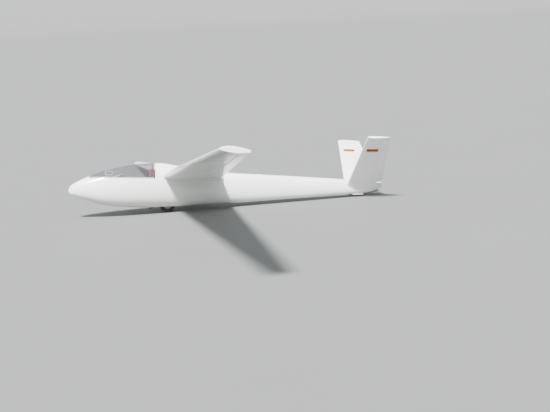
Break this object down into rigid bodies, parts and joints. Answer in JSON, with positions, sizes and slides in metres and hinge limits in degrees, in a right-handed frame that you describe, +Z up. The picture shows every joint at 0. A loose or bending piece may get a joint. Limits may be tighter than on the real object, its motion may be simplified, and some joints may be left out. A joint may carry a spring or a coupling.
{
  "type": "single-seat v-tail sailplane glider",
  "caption": "Shoulder-wing sailplane with a V-tail, one fixed wheel, a tail skid and a side-hinged canopy, parked with one wing tip on the floor.",
  "frame": {"origin": "centre of the parked glider's bounding box in X and Y, on the floor that its wheel, tail skid and starboard wing tip stand on", "axes": "+Z up from the floor, +Y aft along the level direction of the fuselage, +X to port; the glider leans about 7.3 degrees onto its starboard wing tip"},
  "size_m": [15.8812, 6.503, 2.1359],
  "materials": {
    "white_paint": "gloss",
    "canopy_glass": "clear acrylic",
    "tyre_rubber": "matt",
    "skid_rubber": "matt",
    "wheel_alloy": "satin",
    "dark_steel": "satin",
    "red_fabric": "woven",
    "cockpit_lining": "satin",
    "panel_black": "matt",
    "lever_blue": "gloss",
    "knob_yellow": "gloss"
  },
  "bodies": {
    "airframe": {"nose_cap": "white_paint", "cockpit_hull": "white_paint", "centre_fuselage": "white_paint", "tail_boom": "white_paint", "tail_cone": "white_paint", "wing_port": "white_paint", "wing_starboard": "white_paint", "wing_tip_port": "white_paint", "wing_tip_starboard": "white_paint", "wing_fairing_port": "white_paint", "wing_fairing_starboard": "white_paint", "stabiliser_port": "white_paint", "stabiliser_starboard": "white_paint", "tail_fairing_port": "white_paint", "tail_fairing_starboard": "white_paint", "wheel_axle": "dark_steel", "wheel_fork": "dark_steel", "tail_skid_mount": "white_paint", "tail_skid_shoe": "skid_rubber", "tow_hook": "dark_steel", "energy_probe": "dark_steel", "seat_shell": "cockpit_lining", "seat_cushion": "red_fabric", "back_cushion": "red_fabric", "headrest": "red_fabric", "instrument_panel": "panel_black", "panel_cowl": "cockpit_lining", "control_stick": "panel_black", "rudder_pedals": "wheel_alloy", "airbrake_lever": "lever_blue", "tow_release_knob": "knob_yellow"},
    "main_wheel": {"main_tyre": "tyre_rubber", "wheel_hub": "wheel_alloy"},
    "canopy": {"canopy_frame": "white_paint", "canopy_glass": "canopy_glass"},
    "port_aileron": {"aileron_port": "white_paint"},
    "starboard_aileron": {"aileron_starboard": "white_paint"},
    "port_ruddervator": {"ruddervator_port": "white_paint"},
    "starboard_ruddervator": {"ruddervator_starboard": "white_paint"},
    "port_upper_airbrake": {"airbrake_upper_port": "white_paint"},
    "port_lower_airbrake": {"airbrake_lower_port": "white_paint"},
    "starboard_upper_airbrake": {"airbrake_upper_starboard": "white_paint"},
    "starboard_lower_airbrake": {"airbrake_lower_starboard": "white_paint"}
  },
  "joints": [
    {"name": "main_wheel_spin", "type": "hinge", "parent": "airframe", "child": "main_wheel", "pos_m": [0.11887, -1.29292, 0.14862], "axis": [0.9919, 0.0111, 0.1264], "continuous": true},
    {"name": "canopy_hinge", "type": "hinge", "parent": "airframe", "child": "canopy", "pos_m": [-0.25383, -1.86654, 0.70279], "axis": [0, -0.9961, 0.0877], "range_deg": [0, 85]},
    {"name": "aileron_port_hinge", "type": "hinge", "parent": "airframe", "child": "port_aileron", "pos_m": [5.99071, -0.76654, 1.72873], "axis": [0.983, -0.0542, 0.1755], "range_deg": [-20, 20]},
    {"name": "aileron_starboard_hinge", "type": "hinge", "parent": "airframe", "child": "starboard_aileron", "pos_m": [-5.97174, -0.90075, 0.20387], "axis": [0.9941, 0.0764, 0.0766], "range_deg": [-20, 20]},
    {"name": "ruddervator_port_hinge", "type": "hinge", "parent": "airframe", "child": "port_ruddervator", "pos_m": [0.66356, 3.01602, 0.78834], "axis": [0.6738, 0.0242, 0.7385], "range_deg": [-25, 25]},
    {"name": "ruddervator_starboard_hinge", "type": "hinge", "parent": "airframe", "child": "starboard_ruddervator", "pos_m": [-0.66386, 3.00113, 0.61913], "axis": [0.8379, -0.0073, -0.5458], "range_deg": [-25, 25]},
    {"name": "airbrake_upper_port_slide", "type": "slide", "parent": "airframe", "child": "port_upper_airbrake", "axis": [-0.1269, 0.087, 0.9881], "range_m": [0, 0.08]},
    {"name": "airbrake_lower_port_slide", "type": "slide", "parent": "airframe", "child": "port_lower_airbrake", "axis": [0.1269, -0.087, -0.9881], "range_m": [0, 0.08]},
    {"name": "airbrake_upper_starboard_slide", "type": "slide", "parent": "airframe", "child": "starboard_upper_airbrake", "axis": [-0.1269, 0.087, 0.9881], "range_m": [0, 0.08]},
    {"name": "airbrake_lower_starboard_slide", "type": "slide", "parent": "airframe", "child": "starboard_lower_airbrake", "axis": [0.1269, -0.087, -0.9881], "range_m": [0, 0.08]}
  ],
  "couplings": [
    {"joint": "aileron_starboard_hinge", "follows": "aileron_port_hinge", "ratio": -1},
    {"joint": "airbrake_lower_port_slide", "follows": "airbrake_upper_port_slide", "ratio": 1},
    {"joint": "airbrake_upper_starboard_slide", "follows": "airbrake_upper_port_slide", "ratio": 1},
    {"joint": "airbrake_lower_starboard_slide", "follows": "airbrake_upper_port_slide", "ratio": 1}
  ]
}
